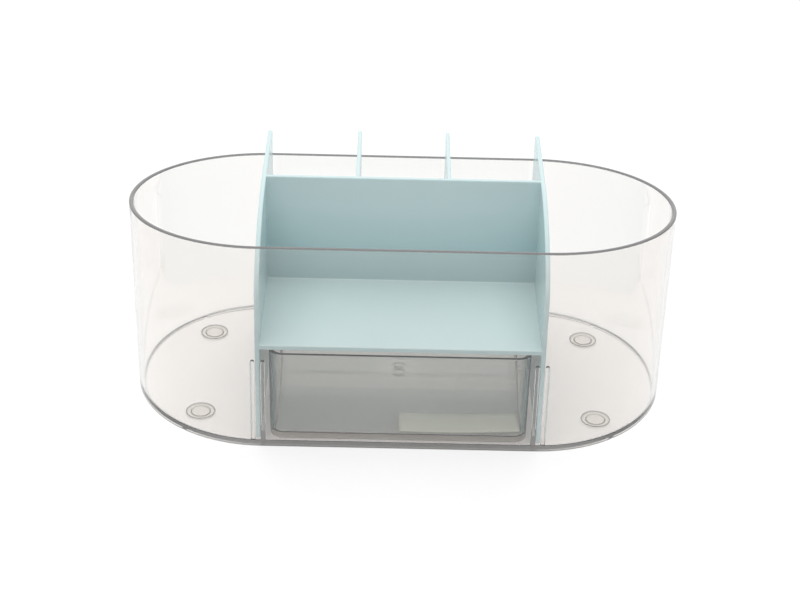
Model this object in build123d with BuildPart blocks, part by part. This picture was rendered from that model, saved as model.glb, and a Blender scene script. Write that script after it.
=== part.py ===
"""Clear obround storage tub with a lift-out divider insert and a sliding drawer.

Millimetres, +Z up, table at Z = 0.  The origin is the middle of the tub's plan.
The tall side of the rim is at the back (-Y); the drawer leaves through the front (+Y).
"""
import os
from math import atan2, degrees

from build123d import *

os.makedirs("parts", exist_ok=True)

# ---- tub: one clear moulding ------------------------------------------------
tub_straight = 150.0      # straight middle of the long sides, between the round ends
tub_width = 150.0         # front to back, at the rim: also twice the radius of a round end
rim_back = 125.0          # height of the rim over the table at the back
rim_front = 105.0         # and at the front
tub_wall = 2.5
tub_floor = 2.5
tub_draft = 1.0           # each side, over rim_back
rim_round = 0.8
floor_round = 1.2         # inside, where wall and floor meet
base_round = 0.4          # outside, at the base

# ---- bead under the floor's edge, open in four places ------------------------
bead_depth = 0.5
bead_width = 3.0
bead_opening = 3.0
bead_opening_angle = 54.0  # from the long axis, about the centre of each round end

# ---- gate recess: a round groove in the underside of tub and drawer floor --------
gate_diameter = 8.0
gate_groove = 1.4
gate_depth = 0.6

# ---- four clear stick-on feet -------------------------------------------------
foot_height = 1.0
foot_pad_diameter = 16.0
foot_face_diameter = 10.0
foot_pad_edge = 0.5
foot_spacing_x = 220.0
foot_spacing_y = 84.0

# ---- insert: one opaque moulding ------------------------------------------------
cheek_thickness = 2.5
insert_height = 123.8     # from the floor it stands on to its top edge
cheek_shoulder = 86.5     # where the back edge of a cheek starts to curve forward
cheek_foot_chamfer = 2.0  # clears the round between the tub's wall and floor
shelf_height = 60.5       # top of the shelf over the tub's floor
shelf_thickness = 2.8
partition_thickness = 2.5
shelf_depth = 71.8        # back edge of the shelf to the partition
divider_thickness = 2.2
compartments = 3
insert_corner = 2.5       # front top corner of the cheeks
insert_edge_round = 0.7   # along the open edges of cheeks, partition, dividers and shelf
insert_inside_round = 0.8  # between shelf and partition

# ---- drawer: one smoked moulding ------------------------------------------------
drawer_wall = 2.0
drawer_draft = 0.5        # each side, over the height of the drawer
drawer_corner = 7.5
drawer_skirt = 2.0        # the walls stand this far below the drawer's floor
drawer_skirt_round = 1.2
drawer_inside_round = 1.0
drawer_rim_round = 0.6
pull_width = 26.0         # finger notch in the front wall
pull_depth = 11.0
pull_round = 5.0
drawer_boss_diameter = 5.0  # low boss on the floor, over the gate
drawer_boss_height = 0.5

# ---- blank paper strip in the drawer ----------------------------------------------
strip_length = 66.0
strip_width = 16.0
strip_thickness = 0.2
strip_side_set = 1.8      # from the drawer's side wall
strip_back_set = 2.6      # from the drawer's back wall
strip_turn = 1.8

# ---- ribs and rails that locate the insert and guide the drawer ---------------------
groove_clearance = 0.25   # each side of a cheek
rib_width = 2.4
rib_depth = 2.0           # out of the back wall
rib_round = 0.8           # along the open edges of a rib
rail_height = 9.5         # over the floor
rail_round = 0.8

# ---- fits ---------------------------------------------------------------------------
insert_back_clearance = 0.6
insert_front_clearance = 11.4
insert_floor_clearance = 0.1
drawer_back_clearance = 0.6
drawer_floor_clearance = 0.4
drawer_top_clearance = 2.7    # under the shelf
drawer_side_clearance = 1.75  # to the rails and inner ribs
rib_top_clearance = 6.7       # under the shelf
opening_side_clearance = 2.1
opening_top_clearance = 1.2
opening_corner = 4.0

# ---- derived places -------------------------------------------------------------------
floor_under = foot_height
floor_top = floor_under + tub_floor
bead_bottom = floor_under - bead_depth
draft_angle = degrees(atan2(tub_draft, rim_back - bead_bottom))
base_width = tub_width - 2 * tub_draft
base_length = tub_straight + base_width
end_centre_x = tub_straight / 2
inside_back = base_width / 2 - tub_wall          # inner face of the back and front walls, at the floor

cheek_inside = end_centre_x                      # the cheeks stand where the round ends start
cheek_outside = cheek_inside + cheek_thickness
cheek_middle = cheek_inside + cheek_thickness / 2
insert_bottom = floor_top + insert_floor_clearance
insert_back = -(inside_back - insert_back_clearance)
insert_front = inside_back - insert_front_clearance
insert_depth = insert_front - insert_back
insert_top = insert_bottom + insert_height
shoulder_z = insert_bottom + cheek_shoulder
shelf_top = floor_top + shelf_height
shelf_under = shelf_top - shelf_thickness
shelf_middle = shelf_top - shelf_thickness / 2
partition_back = insert_back + shelf_depth
partition_middle = partition_back + partition_thickness / 2
divider_pitch = 2 * cheek_inside / compartments

inner_rib_x = cheek_inside - groove_clearance - rib_width / 2
outer_rib_x = cheek_outside + groove_clearance + rib_width / 2
rib_top = shelf_under - rib_top_clearance

drawer_bottom = floor_top + drawer_floor_clearance
drawer_top = shelf_under - drawer_top_clearance
drawer_height = drawer_top - drawer_bottom
drawer_width = 2 * (inner_rib_x - rib_width / 2 - drawer_side_clearance)
drawer_back = -(inside_back - drawer_back_clearance)
drawer_front = base_width / 2
drawer_length = drawer_front - drawer_back
drawer_middle_y = (drawer_front + drawer_back) / 2
drawer_taper = degrees(atan2(drawer_draft, drawer_height))
drawer_floor_under = drawer_bottom + drawer_skirt
drawer_floor_top = drawer_floor_under + drawer_wall
opening_half_width = drawer_width / 2 + opening_side_clearance
opening_top = drawer_top + opening_top_clearance

# ---- tub -------------------------------------------------------------------------------
with BuildPart() as tub:
    # the drafted outside, from the bead up to the tall side of the rim
    with BuildSketch(Plane.XY.offset(bead_bottom)):
        SlotOverall(base_length, base_width)
    extrude(amount=rim_back - bead_bottom, taper=-draft_angle)
    fillet(tub.faces().sort_by(Axis.Z)[0].edges(), radius=base_round)
    # the inside, at the same draft
    with BuildSketch(Plane.XY.offset(floor_top)):
        SlotOverall(base_length - 2 * tub_wall, base_width - 2 * tub_wall)
    extrude(amount=rim_back - floor_top, taper=-draft_angle, mode=Mode.SUBTRACT)
    inner_floor = tub.faces().filter_by(Plane.XY).sort_by(Axis.Z)[1]
    fillet(inner_floor.edges(), radius=floor_round)
    # the rim slopes down from back to front
    rim_plane = Plane(
        origin=(0, -tub_width / 2, rim_back),
        x_dir=(1, 0, 0),
        z_dir=(0, rim_back - rim_front, tub_width),
    )
    split(bisect_by=rim_plane, keep=Keep.BOTTOM)
    fillet(tub.faces().sort_by(Axis.Z)[-1].edges(), radius=rim_round)
    # the underside is recessed inside the bead, and the bead is open in four places
    with BuildSketch(Plane.XY.offset(bead_bottom)):
        SlotOverall(base_length - 2 * bead_width, base_width - 2 * bead_width)
    extrude(amount=bead_depth, mode=Mode.SUBTRACT)
    with BuildSketch(Plane.XY.offset(bead_bottom)):
        for end, middle_angle in ((1, 0), (-1, 180)):
            with Locations((end * end_centre_x, 0)):
                with PolarLocations(
                    base_width / 2 - bead_width / 2,
                    2,
                    start_angle=middle_angle - bead_opening_angle,
                    angular_range=4 * bead_opening_angle,
                ):
                    Rectangle(2 * bead_width, bead_opening)
    extrude(amount=bead_depth, mode=Mode.SUBTRACT)
    # gate recess in the middle of the underside
    with BuildSketch(Plane.XY.offset(floor_under)):
        Circle(gate_diameter / 2)
        Circle(gate_diameter / 2 - gate_groove, mode=Mode.SUBTRACT)
    extrude(amount=gate_depth, mode=Mode.SUBTRACT)
    # drawer opening through the front wall, level with the floor
    with BuildSketch(Plane.XZ.offset(-inside_back + floor_round)):
        with BuildLine():
            Polyline(
                (-opening_half_width, floor_top),
                (-opening_half_width, opening_top),
                (opening_half_width, opening_top),
                (opening_half_width, floor_top),
                close=True,
            )
        make_face()
    extrude(amount=-(tub_wall + 2 * floor_round), mode=Mode.SUBTRACT)
    opening_corners = (
        tub.edges()
        .filter_by(Axis.Y)
        .filter_by_position(Axis.Z, opening_top - opening_corner, opening_top + opening_corner)
    )
    fillet(opening_corners, radius=opening_corner)
    # rib pairs on the back wall: each pair is the groove for one cheek's back edge
    with BuildPart(mode=Mode.PRIVATE) as ribs:
        with BuildSketch(Plane.XZ.offset(inside_back - rib_depth)):
            for rib_x in (-outer_rib_x, -inner_rib_x, inner_rib_x, outer_rib_x):
                with Locations((rib_x, (floor_under + rib_top) / 2)):
                    SlotOverall(rib_top - floor_under, rib_width, rotation=90)
        extrude(amount=rib_depth + tub_wall / 2)
        rib_faces = ribs.faces().filter_by(Plane.XZ).group_by(Axis.Y)[-1]
        fillet(rib_faces.edges(), radius=rib_round)
    add(ribs.part)
    # two floor rails, in line with the inner ribs, guide the drawer between them
    with BuildSketch(Plane.XZ.offset(inside_back + tub_wall / 2)) as rail_ends:
        rail_foot = floor_under + tub_floor / 2
        rail_top = floor_top + rail_height
        for rail_x in (-inner_rib_x, inner_rib_x):
            with Locations((rail_x, rail_foot)):
                Rectangle(rib_width, rail_top - rail_foot, align=(Align.CENTER, Align.MIN))
        fillet(rail_ends.vertices().group_by(Axis.Z)[-1], radius=rail_round)
    extrude(amount=-2 * inside_back - tub_wall)
tub.part.label = "tub"
export_step(tub.part, "parts/tub.step")

# ---- feet --------------------------------------------------------------------------------
foot_names = {
    "foot_back_left": (-1, -1),
    "foot_back_right": (1, -1),
    "foot_front_left": (-1, 1),
    "foot_front_right": (1, 1),
}
for foot_name, (side_x, side_y) in foot_names.items():
    foot_x = side_x * foot_spacing_x / 2
    foot_y = side_y * foot_spacing_y / 2
    with BuildPart() as foot:
        # a soft disc, stuck to the underside, that narrows to its flat face
        with BuildSketch(Plane(origin=(foot_x, foot_y, 0), x_dir=(1, 0, 0), z_dir=(0, -1, 0))):
            with BuildLine():
                Polyline(
                    (0, 0),
                    (foot_face_diameter / 2, 0),
                    (foot_pad_diameter / 2, foot_height - foot_pad_edge),
                    (foot_pad_diameter / 2, foot_height),
                    (0, foot_height),
                    close=True,
                )
            make_face()
        revolve(axis=Axis((foot_x, foot_y, 0), (0, 0, 1)))
    foot.part.label = foot_name
    export_step(foot.part, f"parts/{foot_name}.step")

# ---- insert ------------------------------------------------------------------------------
with BuildPart() as insert:
    # cheeks: a straight back edge that drops into its groove, then a convex sweep forward
    # and up to the flat top
    with BuildSketch(Plane.YZ.offset(-cheek_outside)):
        with BuildLine():
            Polyline(
                (insert_back, shoulder_z),
                (insert_back, insert_bottom + cheek_foot_chamfer),
                (insert_back + cheek_foot_chamfer, insert_bottom),
                (insert_front, insert_bottom),
                (insert_front, insert_top - insert_corner),
            )
            RadiusArc(
                (insert_front, insert_top - insert_corner),
                (insert_front - insert_corner, insert_top),
                -insert_corner,
            )
            Line((insert_front - insert_corner, insert_top), (partition_back, insert_top))
            EllipticalCenterArc(
                (partition_back, shoulder_z),
                partition_back - insert_back,
                insert_top - shoulder_z,
                start_angle=90,
                arc_size=90,
            )
        make_face()
    extrude(amount=cheek_thickness)
    cheek_outline = insert.edges() - insert.edges().filter_by(Axis.X)
    fillet(
        cheek_outline.filter_by_position(Axis.Z, insert_bottom + cheek_foot_chamfer, insert_top),
        radius=insert_edge_round,
    )
    mirror(about=Plane.YZ)
    # the shelf carries on forward as the floor of the compartments
    with BuildPart(mode=Mode.PRIVATE) as shelf:
        with Locations((0, insert_back, shelf_under)):
            Box(
                2 * cheek_middle,
                insert_depth,
                shelf_thickness,
                align=(Align.CENTER, Align.MIN, Align.MIN),
            )
        fillet(shelf.edges().filter_by(Axis.X), radius=insert_edge_round)
    add(shelf.part)
    # partition behind the shelf, and the dividers between it and the front
    with BuildPart(mode=Mode.PRIVATE) as partition:
        with Locations((0, partition_back, shelf_under + insert_edge_round)):
            Box(
                2 * cheek_middle,
                partition_thickness,
                insert_top - shelf_under - insert_edge_round,
                align=(Align.CENTER, Align.MIN, Align.MIN),
            )
        fillet(partition.edges().filter_by(Axis.X).group_by(Axis.Z)[-1], radius=insert_edge_round)
    add(partition.part)
    divider_xs = [divider_pitch * (index + 1) - cheek_inside for index in range(compartments - 1)]
    for divider_x in divider_xs:
        with BuildPart(mode=Mode.PRIVATE) as divider:
            with Locations((divider_x, partition_middle, shelf_middle)):
                Box(
                    divider_thickness,
                    insert_front - partition_middle,
                    insert_top - shelf_middle,
                    align=(Align.CENTER, Align.MIN, Align.MIN),
                )
            divider_top_edges = divider.edges().filter_by(Axis.Y).group_by(Axis.Z)[-1]
            divider_front_edges = divider.edges().filter_by(Axis.Z).group_by(Axis.Y)[-1]
            fillet(divider_top_edges + divider_front_edges, radius=insert_edge_round)
        add(divider.part)
    # inside corner between shelf and partition
    shelf_corner = (
        insert.edges()
        .filter_by(Axis.X)
        .filter_by_position(Axis.Y, partition_back - insert_edge_round, partition_middle)
        .filter_by_position(Axis.Z, shelf_middle, shelf_top + insert_edge_round)
    )
    fillet(shelf_corner, radius=insert_inside_round)
insert.part.label = "insert"
export_step(insert.part, "parts/insert.step")

# ---- drawer ------------------------------------------------------------------------------
with BuildPart() as drawer:
    # a drafted tray with round corners
    with BuildSketch(Plane.XY.offset(drawer_bottom)):
        with Locations((0, drawer_middle_y)):
            RectangleRounded(
                drawer_width - 2 * drawer_draft,
                drawer_length - 2 * drawer_draft,
                drawer_corner,
            )
    extrude(amount=drawer_height, taper=-drawer_taper)
    fillet(drawer.faces().sort_by(Axis.Z)[0].edges(), radius=drawer_skirt_round)
    # its inside, one wall thickness in all round
    with BuildSketch(Plane.XY.offset(drawer_floor_top)):
        with Locations((0, drawer_middle_y)):
            RectangleRounded(
                drawer_width - 2 * (drawer_draft + drawer_wall),
                drawer_length - 2 * (drawer_draft + drawer_wall),
                drawer_corner - drawer_wall,
            )
    extrude(amount=drawer_top - drawer_floor_top, taper=-drawer_taper, mode=Mode.SUBTRACT)
    drawer_floor_face = drawer.faces().filter_by(Plane.XY).sort_by(Axis.Z)[1]
    fillet(drawer_floor_face.edges(), radius=drawer_inside_round)
    fillet(drawer.faces().sort_by(Axis.Z)[-1].edges(), radius=drawer_rim_round)
    # the underside is recessed inside the skirt, with the gate recess in its middle
    with BuildSketch(Plane.XY.offset(drawer_bottom)):
        with Locations((0, drawer_middle_y)):
            RectangleRounded(
                drawer_width - 2 * (drawer_draft + drawer_wall),
                drawer_length - 2 * (drawer_draft + drawer_wall),
                drawer_corner - drawer_wall,
            )
    extrude(amount=drawer_skirt, mode=Mode.SUBTRACT)
    with BuildSketch(Plane.XY.offset(drawer_floor_under)):
        with Locations((0, drawer_middle_y)):
            Circle(gate_diameter / 2)
            Circle(gate_diameter / 2 - gate_groove, mode=Mode.SUBTRACT)
    extrude(amount=gate_depth, mode=Mode.SUBTRACT)
    # finger notch in the front wall
    with BuildSketch(Plane.XZ.offset(-drawer_front - drawer_wall)):
        with Locations((0, drawer_top)):
            RectangleRounded(pull_width, 2 * pull_depth, pull_round)
    extrude(amount=3 * drawer_wall, mode=Mode.SUBTRACT)
    # low boss in the middle of the floor
    with BuildSketch(Plane.XY.offset(drawer_floor_top)):
        with Locations((0, drawer_middle_y)):
            Circle(drawer_boss_diameter / 2)
    extrude(amount=drawer_boss_height)
drawer.part.label = "drawer"
export_step(drawer.part, "parts/drawer.step")

# ---- paper strip ---------------------------------------------------------------------------
with BuildPart() as paper_strip:
    strip_x = drawer_width / 2 - drawer_draft - drawer_wall - strip_side_set - strip_length / 2
    strip_y = drawer_back + drawer_draft + drawer_wall + strip_back_set + strip_width / 2
    with BuildSketch(Plane.XY.offset(drawer_floor_top)):
        with Locations(Location((strip_x, strip_y), strip_turn)):
            Rectangle(strip_length, strip_width)
    extrude(amount=strip_thickness)
paper_strip.part.label = "paper_strip"
export_step(paper_strip.part, "parts/paper_strip.step")
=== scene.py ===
import math

import bmesh
import bpy
from mathutils import Matrix, Vector


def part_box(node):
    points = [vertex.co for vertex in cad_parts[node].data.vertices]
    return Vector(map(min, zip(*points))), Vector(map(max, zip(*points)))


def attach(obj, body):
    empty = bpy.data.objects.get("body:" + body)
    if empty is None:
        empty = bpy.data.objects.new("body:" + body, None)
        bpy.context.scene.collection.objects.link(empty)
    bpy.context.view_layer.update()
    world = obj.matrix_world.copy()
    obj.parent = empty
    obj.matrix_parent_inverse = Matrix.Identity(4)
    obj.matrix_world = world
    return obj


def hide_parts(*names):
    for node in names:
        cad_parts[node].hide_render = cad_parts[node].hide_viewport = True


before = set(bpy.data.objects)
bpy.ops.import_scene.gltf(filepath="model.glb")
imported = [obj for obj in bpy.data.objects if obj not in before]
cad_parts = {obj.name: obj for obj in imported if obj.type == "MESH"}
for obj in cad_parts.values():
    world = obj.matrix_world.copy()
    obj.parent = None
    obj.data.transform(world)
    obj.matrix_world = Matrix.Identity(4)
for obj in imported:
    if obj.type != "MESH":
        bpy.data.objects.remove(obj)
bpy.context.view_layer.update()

# ---- Tub ---------------------------------------------------------------------------
# One injection moulding in clear polystyrene, 2.5 mm thick, with a high gloss from a
# polished mould.  One wall hardly shows the faint warm cast.  The grey at the rim, the
# floor's edge and the rails' ends is painted shade, for light that runs along inside the plastic.
slab_top = 0.0048               # top of the floor slab, with the round over it
slab_fade = 0.0006              # height over which the painted shade of a slab's edge ends
flat_slope, wall_slope = 0.95, 0.85      # upward share of a normal, on floors and on walls
middle_reach, end_reach = 0.080, 0.125   # from the tub's middle, along it
middle_shade, end_shade = 0.7, 0.2         # share of painted shade in the slab's edge at those places
rail_centre = 0.07355           # of a floor rail, from the tub's middle
rail_half_width = 0.0012
rail_bar_top = 0.0112           # below the rail's own top, because the eye looks down through the wall
back_wall_inside = -0.0715
# share of painted shade in the grey bars at the rails' near ends
rail_shade = 0.85
rim_start = 0.095               # what turns up above this height is the rim
rim_slope_start, rim_slope_full = 0.15, 0.4
# share of painted shade on the rim
rim_shade = 0.8
wall_cast = "#F8F6F4"
# colours of painted shade: grey at the floor slab's edge, and a darker grey on the rim
slab_shade_colour = "#868583"
rim_shade_colour = "#46484C"

flow_mark_spacing = 0.014
flow_mark_detail = 1.5
haze_patch = 0.003
haze_detail = 2.0
haze_low, haze_high = 0.35, 0.7  # the noise hardly leaves this range

# a colour mix's sockets share their names, so they go by number
mix_share, mix_first, mix_second, mixed = 0, 6, 7, 2


def linear(srgb_hex):
    """The linear colour of an sRGB hex value."""
    shares = [int(srgb_hex[i:i + 2], 16) / 255 for i in (1, 3, 5)]
    return tuple(s / 12.92 if s <= 0.04045 else ((s + 0.055) / 1.055) ** 2.4 for s in shares) + (1.0,)


def add_node(tree, kind, sockets=(), **settings):
    """Adds a node, sets its properties, and gives each named socket a value or a link."""
    node = tree.nodes.new(kind)
    for name, value in settings.items():
        setattr(node, name, value)
    for name, value in dict(sockets).items():
        if isinstance(value, bpy.types.NodeSocket):
            tree.links.new(value, node.inputs[name])
        else:
            node.inputs[name].default_value = value
    return node


def new_material(name):
    """An empty material and its node tree."""
    material = bpy.data.materials.new(name)
    material.use_nodes = True
    material.node_tree.nodes.clear()
    return material, material.node_tree


def finish_node(node_name, material):
    """Gives a CAD node its finish."""
    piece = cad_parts[node_name]
    piece.data.materials.clear()
    piece.data.materials.append(material)


def clear_plastic(material, tree, colour, clearness, body_colour, body_density, wall_tint,
                  ior, polish, ripple):
    """Makes a material a clear moulded plastic.

    colour is what one wall takes from light at its two faces and clearness how much goes
    through, and body_colour and body_density are what the depth of the plastic takes.
    wall_tint is what one face takes from the light that falls through to what is behind.
    polish is the roughness between and on the faint flow marks that a moulding keeps, and
    ripple how high those marks stand, in metres.
    """
    place = add_node(tree, "ShaderNodeTexCoord").outputs["Object"]
    # flow marks: slow waves some 14 mm apart, where the melt cooled against the mould
    flow = add_node(
        tree, "ShaderNodeTexNoise",
        {"Vector": place, "Scale": 1 / flow_mark_spacing, "Detail": flow_mark_detail},
    )
    # polishing haze: patches about 3 mm across
    haze = add_node(
        tree, "ShaderNodeTexNoise",
        {"Vector": place, "Scale": 1 / haze_patch, "Detail": haze_detail},
    )
    roughness = add_node(
        tree, "ShaderNodeMapRange",
        {"Value": haze.outputs["Fac"], "From Min": haze_low, "From Max": haze_high,
         "To Min": polish[0], "To Max": polish[1]},
    )
    bump = add_node(
        tree, "ShaderNodeBump",
        {"Height": flow.outputs["Fac"], "Strength": 1.0, "Distance": ripple},
    )
    plastic = add_node(
        tree, "ShaderNodeBsdfPrincipled",
        {"Base Color": colour, "Transmission Weight": clearness, "IOR": ior,
         "Roughness": roughness.outputs["Result"], "Normal": bump.outputs["Normal"]},
    )
    # lamps and the light between pieces pass straight through, only dimmed
    path = add_node(tree, "ShaderNodeLightPath")
    passing = add_node(
        tree, "ShaderNodeMath",
        {0: path.outputs["Is Shadow Ray"], 1: path.outputs["Is Diffuse Ray"]}, operation="MAXIMUM",
    )
    through = add_node(tree, "ShaderNodeBsdfTransparent", {"Color": linear(wall_tint)})
    surface = add_node(
        tree, "ShaderNodeMixShader",
        {0: passing.outputs[0], 1: plastic.outputs["BSDF"], 2: through.outputs["BSDF"]},
    )
    body = add_node(
        tree, "ShaderNodeVolumeAbsorption", {"Color": linear(body_colour), "Density": body_density}
    )
    add_node(
        tree, "ShaderNodeOutputMaterial",
        {"Surface": surface.outputs["Shader"], "Volume": body.outputs["Volume"]},
    )


def read_surface(tree):
    """Where a point is, if it is seen from outside the plastic, and how far it faces up or down."""
    place = add_node(tree, "ShaderNodeTexCoord").outputs["Object"]
    spot = add_node(tree, "ShaderNodeSeparateXYZ", {"Vector": place})
    surface = add_node(tree, "ShaderNodeNewGeometry")
    outer_side = add_node(
        tree, "ShaderNodeMath", {0: 1.0, 1: surface.outputs["Backfacing"]}, operation="SUBTRACT"
    )
    normal = add_node(tree, "ShaderNodeSeparateXYZ", {"Vector": surface.outputs["Normal"]})
    slope = add_node(tree, "ShaderNodeMath", {0: normal.outputs["Z"]}, operation="ABSOLUTE")
    return spot, outer_side.outputs[0], slope.outputs[0]


def slab_edge(tree, spot, outer_side, slope, top):
    """1 on the outside of the wall beside a floor slab, up to a height, and 0 elsewhere."""
    lowness = add_node(
        tree, "ShaderNodeMapRange",
        {"Value": spot.outputs["Z"], "From Min": top, "From Max": top - slab_fade},
    )
    upright = add_node(
        tree, "ShaderNodeMapRange", {"Value": slope, "From Min": flat_slope, "From Max": wall_slope}
    )
    low_wall = add_node(
        tree, "ShaderNodeMath",
        {0: lowness.outputs["Result"], 1: upright.outputs["Result"]}, operation="MULTIPLY",
    )
    return add_node(
        tree, "ShaderNodeMath", {0: low_wall.outputs[0], 1: outer_side}, operation="MULTIPLY"
    ).outputs[0]


tub_styrene, tree = new_material("clear_polystyrene_injection_moulded")
spot, outer_side, slope = read_surface(tree)
# painted shade: the edge of the floor slab is made grey, standing for light that ran along inside it and
# comes out there
slab_side = slab_edge(tree, spot, outer_side, slope, slab_top)
# less of it at the round ends, where the white table shows through the slab instead
sideways = add_node(tree, "ShaderNodeMath", {0: spot.outputs["X"]}, operation="ABSOLUTE")
slab_share = add_node(
    tree, "ShaderNodeMapRange",
    {"Value": sideways.outputs[0], "From Min": middle_reach, "From Max": end_reach,
     "To Min": middle_shade, "To Max": end_shade},
)
painted_slab_shade = add_node(
    tree, "ShaderNodeMath", {0: slab_side, 1: slab_share.outputs["Result"]}, operation="MULTIPLY"
)
# painted shade: the near ends of the two floor rails show through the back wall as grey bars painted on it
rail_side = add_node(tree, "ShaderNodeMath", {0: sideways.outputs[0], 1: rail_centre}, operation="SUBTRACT")
rail_distance = add_node(tree, "ShaderNodeMath", {0: rail_side.outputs[0]}, operation="ABSOLUTE")
on_rail = add_node(
    tree, "ShaderNodeMath", {0: rail_distance.outputs[0], 1: rail_half_width}, operation="LESS_THAN"
)
low_enough = add_node(
    tree, "ShaderNodeMath", {0: spot.outputs["Z"], 1: rail_bar_top}, operation="LESS_THAN"
)
in_back_wall = add_node(
    tree, "ShaderNodeMath", {0: spot.outputs["Y"], 1: back_wall_inside}, operation="LESS_THAN"
)
rail_bar = add_node(
    tree, "ShaderNodeMath", {0: on_rail.outputs[0], 1: low_enough.outputs[0]}, operation="MULTIPLY"
)
rail_end = add_node(
    tree, "ShaderNodeMath", {0: rail_bar.outputs[0], 1: in_back_wall.outputs[0]}, operation="MULTIPLY"
)
rail_shade_share = add_node(tree, "ShaderNodeMath", {0: rail_end.outputs[0], 1: rail_shade}, operation="MULTIPLY")
low_share = add_node(
    tree, "ShaderNodeMath", {0: painted_slab_shade.outputs[0], 1: rail_shade_share.outputs[0]}, operation="MAXIMUM"
)
# painted shade: the rounded rim gathers the same light from the walls, and is painted a darker grey
rim_height = add_node(tree, "ShaderNodeMath", {0: spot.outputs["Z"], 1: rim_start}, operation="GREATER_THAN")
turned_up = add_node(
    tree, "ShaderNodeMapRange",
    {"Value": slope, "From Min": rim_slope_start, "From Max": rim_slope_full,
     "To Min": 0.0, "To Max": rim_shade},
)
outer_rim = add_node(
    tree, "ShaderNodeMath", {0: rim_height.outputs[0], 1: outer_side}, operation="MULTIPLY"
)
rim_shade_share = add_node(
    tree, "ShaderNodeMath", {0: outer_rim.outputs[0], 1: turned_up.outputs["Result"]}, operation="MULTIPLY"
)
# all the painted shade of the tub, mixed into its colour and taken from its clearness
painted_shade_share = add_node(
    tree, "ShaderNodeMath", {0: low_share.outputs[0], 1: rim_shade_share.outputs[0]}, operation="MAXIMUM"
)
grey = add_node(
    tree, "ShaderNodeMix",
    {mix_share: rim_height.outputs[0], mix_first: linear(slab_shade_colour), mix_second: linear(rim_shade_colour)},
    data_type="RGBA",
)
colour = add_node(
    tree, "ShaderNodeMix",
    {mix_share: painted_shade_share.outputs[0], mix_first: linear(wall_cast), mix_second: grey.outputs[mixed]},
    data_type="RGBA",
)
clearness = add_node(tree, "ShaderNodeMath", {0: 1.0, 1: painted_shade_share.outputs[0]}, operation="SUBTRACT")
clear_plastic(
    tub_styrene, tree, colour.outputs[mixed], clearness.outputs[0],
    body_colour="#DAD9D7", body_density=12.0, wall_tint="#FFFEFE",
    ior=1.59, polish=(0.0, 0.02), ripple=0.000007,
)
finish_node("tub", tub_styrene)

# ---- Feet --------------------------------------------------------------------------
# Four clear silicone bumpers, cast soft and faintly hazy as low discs with a raised round
# face, and stuck under the tub's floor.  Through the floor each shows as two faint rings.
foot_profile = [  # radius and height, out from the middle of the face and back along the glued side
    (0.0, 0.00003), (0.0047, 0.00003), (0.0050, 0.00006), (0.0052, 0.00015), (0.0053, 0.00030),
    # the corner at the foot of the round face, and the flat ring round it
    (0.0054, 0.00041), (0.0056, 0.00044), (0.0072, 0.00045),
    # the round outer edge
    (0.0076, 0.00051), (0.0079, 0.00066), (0.0080, 0.00080), (0.0080, 0.00090), (0.0079, 0.00095),
    (0.0, 0.00095),
]
foot_steps = 64
foot_weld = 0.000002
wide_face_area = 4e-7           # faces larger than this lie in the ring or the two round faces


def new_piece(name, shape, material):
    """Makes a bmesh an object at the origin, and gives it its material."""
    mesh = bpy.data.meshes.new(name)
    shape.to_mesh(mesh)
    shape.free()
    mesh.materials.append(material)
    piece = bpy.data.objects.new(name, mesh)
    bpy.context.scene.collection.objects.link(piece)
    return piece


foot_silicone, tree = new_material("clear_silicone_cast")
clear_plastic(
    foot_silicone, tree, linear("#F9F8F6"), 1.0,
    body_colour="#E6E5E1", body_density=10.0, wall_tint="#FBFBF9",
    ior=1.41, polish=(0.02, 0.05), ripple=0.00001,
)
for foot_name in ("foot_back_left", "foot_back_right", "foot_front_left", "foot_front_right"):
    low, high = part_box(foot_name)
    middle = Vector(((low.x + high.x) / 2, (low.y + high.y) / 2, 0.0))
    shape = bmesh.new()
    line = [shape.verts.new(middle + Vector((radius, 0.0, height))) for radius, height in foot_profile]
    edges = [shape.edges.new(pair) for pair in zip(line, line[1:])]
    bmesh.ops.spin(
        shape, geom=line + edges, cent=middle, axis=(0, 0, 1), angle=2 * math.pi,
        steps=foot_steps, use_merge=True,
    )
    bmesh.ops.remove_doubles(shape, verts=shape.verts, dist=foot_weld)
    bmesh.ops.recalc_face_normals(shape, faces=shape.faces)
    for face in shape.faces:
        # the wide faces stay flat, so what is behind them isn't bent
        face.smooth = face.calc_area() < wide_face_area
    foot = new_piece(foot_name + "_bumper", shape, foot_silicone)
    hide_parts(foot_name)
    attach(foot, "tub")

# ---- Insert ------------------------------------------------------------------------
# One moulding in pale aqua ABS, opaque with pigment, that lifts out of the tub.  The mould
# was fine-textured, so the faces have a satin finish with soft, broad highlights.
aqua_one, aqua_two = "#C8DDDF", "#CEE3E4"
# a deeper aqua, painted as shade on the upright faces near the shelf
aqua_shade_colour = "#B4CED1"
colour_drift = 0.060            # distance over which the pigment varies
drift_detail = 2.0
shelf_level = 0.0605            # about the height of the shelf's underside
shade_reach, shade_full = 0.050, 0.005     # from there, where the painted shade starts and is full
lying_slope, upright_slope = 0.5, 0.2    # upward share of a normal, between shelf and walls
satin_low, satin_high = 0.3, 0.7         # the noise hardly leaves this range
satin_roughness = (0.18, 0.24)
grain_size = 0.00025
grain_detail = 2.0
grain_strength = 0.4
grain_height = 0.00003

satin_aqua, aqua = new_material("aqua_abs_satin_moulded")
place = add_node(aqua, "ShaderNodeTexCoord").outputs["Object"]
# the colour drifts slightly over about 60 mm, as pigment does along the melt's way
drift = add_node(
    aqua, "ShaderNodeTexNoise", {"Vector": place, "Scale": 1 / colour_drift, "Detail": drift_detail}
)
drifting_aqua = add_node(
    aqua, "ShaderNodeMix",
    {mix_share: drift.outputs["Fac"], mix_first: linear(aqua_one), mix_second: linear(aqua_two)},
    data_type="RGBA",
)
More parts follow.
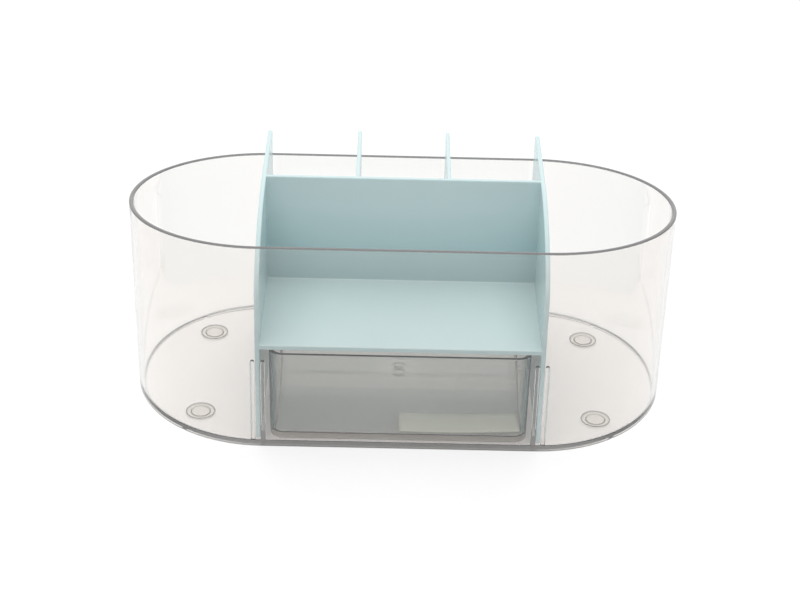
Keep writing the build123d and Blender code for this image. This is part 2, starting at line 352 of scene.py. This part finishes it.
# painted shade: a deeper aqua on the upright faces near the shelf, where cheeks, partition and shelf close
# the light in
spot = add_node(aqua, "ShaderNodeSeparateXYZ", {"Vector": place})
above_shelf = add_node(
    aqua, "ShaderNodeMath", {0: spot.outputs["Z"], 1: shelf_level}, operation="SUBTRACT"
)
shelf_distance = add_node(aqua, "ShaderNodeMath", {0: above_shelf.outputs[0]}, operation="ABSOLUTE")
nearness = add_node(
    aqua, "ShaderNodeMapRange",
    {"Value": shelf_distance.outputs[0], "From Min": shade_reach, "From Max": shade_full,
     "To Min": 0.0, "To Max": 1.0},
)
facing = add_node(
    aqua, "ShaderNodeSeparateXYZ", {"Vector": add_node(aqua, "ShaderNodeNewGeometry").outputs["Normal"]}
)
steepness = add_node(aqua, "ShaderNodeMath", {0: facing.outputs["Z"]}, operation="ABSOLUTE")
upright = add_node(
    aqua, "ShaderNodeMapRange",
    {"Value": steepness.outputs[0], "From Min": lying_slope, "From Max": upright_slope,
     "To Min": 0.0, "To Max": 1.0},
)
aqua_shade_share = add_node(
    aqua, "ShaderNodeMath",
    {0: nearness.outputs["Result"], 1: upright.outputs["Result"]}, operation="MULTIPLY",
)
shaded_aqua = add_node(
    aqua, "ShaderNodeMix",
    {mix_share: aqua_shade_share.outputs[0], mix_first: drifting_aqua.outputs[mixed],
     mix_second: linear(aqua_shade_colour)},
    data_type="RGBA",
)
# texture of the mould: grains of about 0.25 mm
grain = add_node(
    aqua, "ShaderNodeTexNoise", {"Vector": place, "Scale": 1 / grain_size, "Detail": grain_detail}
)
satin = add_node(
    aqua, "ShaderNodeMapRange",
    {"Value": drift.outputs["Fac"], "From Min": satin_low, "From Max": satin_high,
     "To Min": satin_roughness[0], "To Max": satin_roughness[1]},
)
grain_bump = add_node(
    aqua, "ShaderNodeBump",
    {"Height": grain.outputs["Fac"], "Strength": grain_strength, "Distance": grain_height},
)
aqua_surface = add_node(
    aqua, "ShaderNodeBsdfPrincipled",
    {"Base Color": shaded_aqua.outputs[mixed], "IOR": 1.53, "Roughness": satin.outputs["Result"],
     "Normal": grain_bump.outputs["Normal"]},
)
add_node(aqua, "ShaderNodeOutputMaterial", {"Surface": aqua_surface.outputs["BSDF"]})
finish_node("insert", satin_aqua)

# ---- Drawer ------------------------------------------------------------------------
# One moulding in smoke-grey clear polystyrene, polished inside and out.  Each wall takes
# about a seventh of the light that goes through it, so the tray reads as grey.
drawer_slab_top = 0.0086        # top of the drawer's floor, with the round over it
drawer_slab_shade = 0.8
highlight_start, highlight_full = 0.0047, 0.0045     # heights, down the foot of the skirt
smoke_cast = "#EFF2F1"
# painted shade for the edge of the drawer's floor, and a painted highlight along the foot of its skirt
drawer_slab_shade_colour = "#9D9890"
skirt_highlight_white = "#FBFAF8"

drawer_styrene, tree = new_material("smoked_polystyrene_injection_moulded")
spot, outer_side, slope = read_surface(tree)
# painted shade and highlight: the edge of the floor slab is shaded a brownish grey, and the foot of the
# skirt carries a painted white highlight
slab_side = slab_edge(tree, spot, outer_side, slope, drawer_slab_top)
painted_slab_shade = add_node(tree, "ShaderNodeMath", {0: slab_side, 1: drawer_slab_shade}, operation="MULTIPLY")
skirt_highlight = add_node(
    tree, "ShaderNodeMapRange", {"Value": spot.outputs["Z"], "From Min": highlight_start, "From Max": highlight_full}
)
edge_colour = add_node(
    tree, "ShaderNodeMix",
    {mix_share: skirt_highlight.outputs["Result"], mix_first: linear(drawer_slab_shade_colour),
     mix_second: linear(skirt_highlight_white)},
    data_type="RGBA",
)
colour = add_node(
    tree, "ShaderNodeMix",
    {mix_share: painted_slab_shade.outputs[0], mix_first: linear(smoke_cast),
     mix_second: edge_colour.outputs[mixed]},
    data_type="RGBA",
)
clearness = add_node(tree, "ShaderNodeMath", {0: 1.0, 1: painted_slab_shade.outputs[0]}, operation="SUBTRACT")
clear_plastic(
    drawer_styrene, tree, colour.outputs[mixed], clearness.outputs[0],
    body_colour="#C9CAC8", body_density=35.0, wall_tint="#FFFFFF",
    ior=1.59, polish=(0.0, 0.03), ripple=0.00003,
)
finish_node("drawer", drawer_styrene)

# ---- Paper strip -------------------------------------------------------------------
# A blank slip of uncoated cream paper, dry and matt, that lies loose in the drawer.  It
# keeps a slight curl: its ends and far edge stand about a millimetre off the drawer's floor.
sheet_columns, sheet_rows = 32, 8
paper_thickness = 0.00018
end_lift, far_edge_lift = 0.0009, 0.0013
fibre_length = 0.0006
fibre_detail = 4.0
tooth_strength = 0.5
tooth_height = 0.00003
paper_one, paper_two = "#F6F6E6", "#FBFBEF"
paper_roughness = 0.9
lying_face = 0.5                # a face whose normal rises more than this is the top or the underside

plain_paper, paper = new_material("uncoated_paper_cream")
place = add_node(paper, "ShaderNodeTexCoord").outputs["Object"]
# fibres: short cloudy streaks about 0.6 mm long
fibres = add_node(
    paper, "ShaderNodeTexNoise", {"Vector": place, "Scale": 1 / fibre_length, "Detail": fibre_detail}
)
paper_colour = add_node(
    paper, "ShaderNodeMix",
    {mix_share: fibres.outputs["Fac"], mix_first: linear(paper_one), mix_second: linear(paper_two)},
    data_type="RGBA",
)
tooth = add_node(
    paper, "ShaderNodeBump",
    {"Height": fibres.outputs["Fac"], "Strength": tooth_strength, "Distance": tooth_height},
)
paper_surface = add_node(
    paper, "ShaderNodeBsdfPrincipled",
    {"Base Color": paper_colour.outputs[mixed], "Roughness": paper_roughness,
     "Normal": tooth.outputs["Normal"]},
)
add_node(paper, "ShaderNodeOutputMaterial", {"Surface": paper_surface.outputs["BSDF"]})

cad_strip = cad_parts["paper_strip"].data
low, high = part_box("paper_strip")
top_corners = [v.co.copy() for v in cad_strip.vertices if v.co.z > (low.z + high.z) / 2]
near_left = min(top_corners, key=lambda corner: corner.x + corner.y)
near_right = max(top_corners, key=lambda corner: corner.x - corner.y)
far_left = min(top_corners, key=lambda corner: corner.x - corner.y)
far_right = max(top_corners, key=lambda corner: corner.x + corner.y)
shape = bmesh.new()
bmesh.ops.create_grid(shape, x_segments=sheet_columns, y_segments=sheet_rows, size=1.0)
for corner in shape.verts:
    along, across = (corner.co.x + 1) / 2, (corner.co.y + 1) / 2
    flat_place = near_left.lerp(near_right, along).lerp(far_left.lerp(far_right, along), across)
    curl = end_lift * (2 * along - 1) ** 2 + far_edge_lift * across ** 2
    corner.co = flat_place + Vector((0.0, 0.0, curl))
shape.normal_update()
bmesh.ops.solidify(shape, geom=shape.faces, thickness=paper_thickness)
bmesh.ops.recalc_face_normals(shape, faces=shape.faces)
for face in shape.faces:
    face.smooth = abs(face.normal.z) > lying_face
sheet = new_piece("paper_sheet", shape, plain_paper)
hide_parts("paper_strip")
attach(sheet, "drawer")

# ---- Table, light and camera -------------------------------------------------------
# A white table under two broad soft lights, one above the tub and one far off beyond it.
# Seen directly the table is lifted to white and keeps a faint shadow; through the plastic
# it is lifted only a little, so it is dim under the drawer.
table_size = 8.0
direct_glow, indirect_glow = 0.7, 0.2
glow_strength = 1.05
room_level = 0.42
lit_middle = Vector((0.0, 0.0, 0.05))
softboxes = (  # name, place and size in metres, power in watts
    ("softbox_above", Vector((-0.12, 0.0, 1.45)), (2.2, 1.6), 19.0),
    ("softbox_behind", Vector((0.1, 2.4, 1.3)), (3.0, 2.0), 36.0),
)


def seen_ray(tree, camera_share, indirect_share):
    """camera_share for the eye's own rays, indirect_share for a gloss or clear plastic's, else 0."""
    path = add_node(tree, "ShaderNodeLightPath")
    either = add_node(
        tree, "ShaderNodeMath",
        {0: path.outputs["Is Glossy Ray"], 1: path.outputs["Is Transmission Ray"]}, operation="MAXIMUM",
    )
    indirect = add_node(
        tree, "ShaderNodeMath", {0: either.outputs[0], 1: indirect_share}, operation="MULTIPLY"
    )
    direct = add_node(
        tree, "ShaderNodeMath", {0: path.outputs["Is Camera Ray"], 1: camera_share}, operation="MULTIPLY"
    )
    return add_node(
        tree, "ShaderNodeMath", {0: direct.outputs[0], 1: indirect.outputs[0]}, operation="MAXIMUM"
    ).outputs[0]


table_white, tree = new_material("table_white_card")
card = add_node(tree, "ShaderNodeBsdfDiffuse", {"Color": linear("#F7F7F7")})
glow = add_node(
    tree, "ShaderNodeEmission", {"Color": linear("#FFFFFF"), "Strength": glow_strength}
)
card_and_glow = add_node(
    tree, "ShaderNodeMixShader",
    {0: seen_ray(tree, direct_glow, indirect_glow), 1: card.outputs["BSDF"], 2: glow.outputs["Emission"]},
)
add_node(tree, "ShaderNodeOutputMaterial", {"Surface": card_and_glow.outputs["Shader"]})
shape = bmesh.new()
bmesh.ops.create_grid(shape, x_segments=1, y_segments=1, size=table_size / 2)
table = new_piece("table", shape, table_white)

world = bpy.data.worlds.new("white_studio")
bpy.context.scene.world = world
world.use_nodes = True
room_tree = world.node_tree
room_tree.nodes.clear()
level = add_node(
    room_tree, "ShaderNodeMapRange",
    {"Value": seen_ray(room_tree, 1.0, 1.0), "To Min": room_level, "To Max": 1.0},
)
# mirrored and through the plastic the room is a warm off-white
room_colour = add_node(
    room_tree, "ShaderNodeMix",
    {mix_share: seen_ray(room_tree, 0.0, 1.0), mix_first: linear("#FFFFFF"),
     mix_second: linear("#F5F2F0")},
    data_type="RGBA",
)
room = add_node(
    room_tree, "ShaderNodeBackground",
    {"Color": room_colour.outputs[mixed], "Strength": level.outputs["Result"]},
)
add_node(room_tree, "ShaderNodeOutputWorld", {"Surface": room.outputs["Background"]})

for light_name, light_place, light_size, light_power in softboxes:
    soft_light = bpy.data.lights.new(light_name, "AREA")
    soft_light.shape = "RECTANGLE"
    soft_light.size, soft_light.size_y = light_size
    soft_light.energy = light_power
    softbox = bpy.data.objects.new(light_name, soft_light)
    softbox.location = light_place
    softbox.rotation_euler = (lit_middle - light_place).to_track_quat("-Z", "Y").to_euler()
    softbox.visible_camera = False
    softbox.visible_glossy = False
    softbox.visible_transmission = False
    bpy.context.scene.collection.objects.link(softbox)

# the eye is behind the tub, about 1.15 m away, and looks down by 31 degrees
camera_data = bpy.data.cameras.new("camera")
camera_data.lens = 89.88
camera_data.sensor_width = 36.0
camera_data.clip_start = 0.05
camera = bpy.data.objects.new("camera", camera_data)
camera_place = Vector((-0.00969, -0.97147, 0.62642))
camera_turn, camera_dip, camera_roll = math.radians(0.556), math.radians(30.628), math.radians(1.518)
camera.matrix_world = (
    Matrix.Translation(camera_place)
    @ Matrix.Rotation(-camera_turn, 4, "Z")
    @ Matrix.Rotation(math.pi / 2 - camera_dip, 4, "X")
    @ Matrix.Rotation(camera_roll, 4, "Z")
)
bpy.context.scene.collection.objects.link(camera)
bpy.context.scene.camera = camera
bpy.context.scene.view_settings.view_transform = "Standard"
